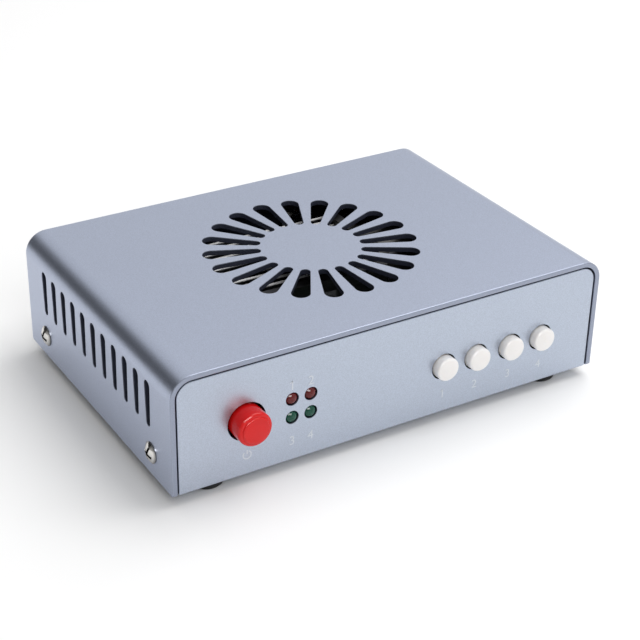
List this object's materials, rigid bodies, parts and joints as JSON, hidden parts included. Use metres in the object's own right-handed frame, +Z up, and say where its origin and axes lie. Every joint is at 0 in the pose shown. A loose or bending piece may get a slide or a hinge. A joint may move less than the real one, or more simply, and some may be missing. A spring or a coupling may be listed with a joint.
{
  "type": "reflow oven control unit",
  "caption": "Closed folded-sheet control box for a bench reflow oven with a round slotted grille, side vents, push buttons, indicator lamps and rear sockets.",
  "frame": {"origin": "on the table under the middle of the whole box, at the bottom of the feet", "axes": "+X to the right seen from the front, +Y from the front panel to the rear, +Z up"},
  "size_m": [0.1836, 0.1376, 0.0505],
  "materials": {
    "case_paint": "fine-textured blue-grey powder coat",
    "nickel": "nickel plate",
    "foot_rubber": "matt black rubber",
    "zinc": "bright zinc plate",
    "brass_posts": "bright brass",
    "board_green": "green solder mask",
    "lamp_green": "dark green clear lens",
    "lamp_red": "dark red clear lens",
    "switch_black": "black moulded plastic",
    "switch_white": "white moulded plastic",
    "chip_black": "black epoxy",
    "can_sleeve": "dark shrink sleeve",
    "block_green": "green moulded plastic",
    "fuse_glass": "clear glass with metal caps",
    "ribbon_grey": "grey flat cable",
    "sink_aluminium": "bare extruded aluminium",
    "pad_grey": "grey silicone pad",
    "fan_black": "black moulded plastic",
    "core_steel": "laminated steel",
    "winding_tape": "yellow insulating tape",
    "inlet_black": "black moulded plastic",
    "pin_gold": "gold flash",
    "wire_brown": "insulated wire",
    "wire_green": "green and yellow insulated wire",
    "cap_red": "satin red moulded plastic",
    "cap_white": "satin white moulded plastic"
  },
  "bodies": {
    "case": {"top_cover": "case_paint", "base_chassis": "case_paint", "cover_screws": "nickel", "rubber_feet": "foot_rubber", "foot_screws": "zinc", "bottom_screws": "zinc", "board_standoffs": "brass_posts", "board_screws": "zinc", "front_board": "board_green", "main_board": "board_green", "green_lamps": "lamp_green", "red_lamps": "lamp_red", "key_switches": "switch_black", "switch_bracket": "zinc", "power_switch": "switch_black", "switch_screws": "zinc", "microcontroller": "chip_black", "optocouplers": "chip_black", "capacitors": "can_sleeve", "rectifier": "chip_black", "terminal_blocks": "block_green", "board_fuse": "fuse_glass", "fuse_clips": "brass_posts", "ribbon_cable": "ribbon_grey", "heat_sink": "sink_aluminium", "triacs": "chip_black", "triac_pads": "pad_grey", "triac_screws": "zinc", "fan_frame": "fan_black", "fan_stator": "core_steel", "fan_screws": "zinc", "transformer_core": "core_steel", "transformer_winding": "winding_tape", "transformer_strap": "zinc", "mains_inlet": "inlet_black", "inlet_pins": "nickel", "inlet_screws": "nickel", "socket_shells": "nickel", "socket_inserts": "inlet_black", "socket_pins": "pin_gold", "socket_nuts": "nickel", "mains_wires": "wire_brown", "earth_wire": "wire_green", "earth_lug": "brass_posts", "earth_screw": "zinc", "output_wires": "wire_brown"},
    "power_button": {"power_cap": "cap_red", "power_plunger": "switch_white"},
    "fan_rotor_body": {"fan_rotor": "fan_black", "fan_shaft": "core_steel"},
    "key_1": {"key_cap_1": "cap_white", "key_plunger_1": "switch_black"},
    "key_2": {"key_cap_2": "cap_white", "key_plunger_2": "switch_black"},
    "key_3": {"key_cap_3": "cap_white", "key_plunger_3": "switch_black"},
    "key_4": {"key_cap_4": "cap_white", "key_plunger_4": "switch_black"}
  },
  "joints": [
    {"name": "power_push", "type": "slide", "parent": "case", "child": "power_button", "axis": [0, 1, 0], "range_m": [0, 0.0035], "stiffness_N_per_m": 600},
    {"name": "key_1_push", "type": "slide", "parent": "case", "child": "key_1", "axis": [0, 1, 0], "range_m": [0, 0.0004], "stiffness_N_per_m": 2500},
    {"name": "key_2_push", "type": "slide", "parent": "case", "child": "key_2", "axis": [0, 1, 0], "range_m": [0, 0.0004], "stiffness_N_per_m": 2500},
    {"name": "key_3_push", "type": "slide", "parent": "case", "child": "key_3", "axis": [0, 1, 0], "range_m": [0, 0.0004], "stiffness_N_per_m": 2500},
    {"name": "key_4_push", "type": "slide", "parent": "case", "child": "key_4", "axis": [0, 1, 0], "range_m": [0, 0.0004], "stiffness_N_per_m": 2500},
    {"name": "fan_spin", "type": "hinge", "parent": "case", "child": "fan_rotor_body", "pos_m": [0.0345, 0.009, 0.0265], "axis": [1, 0, 0], "continuous": true}
  ]
}
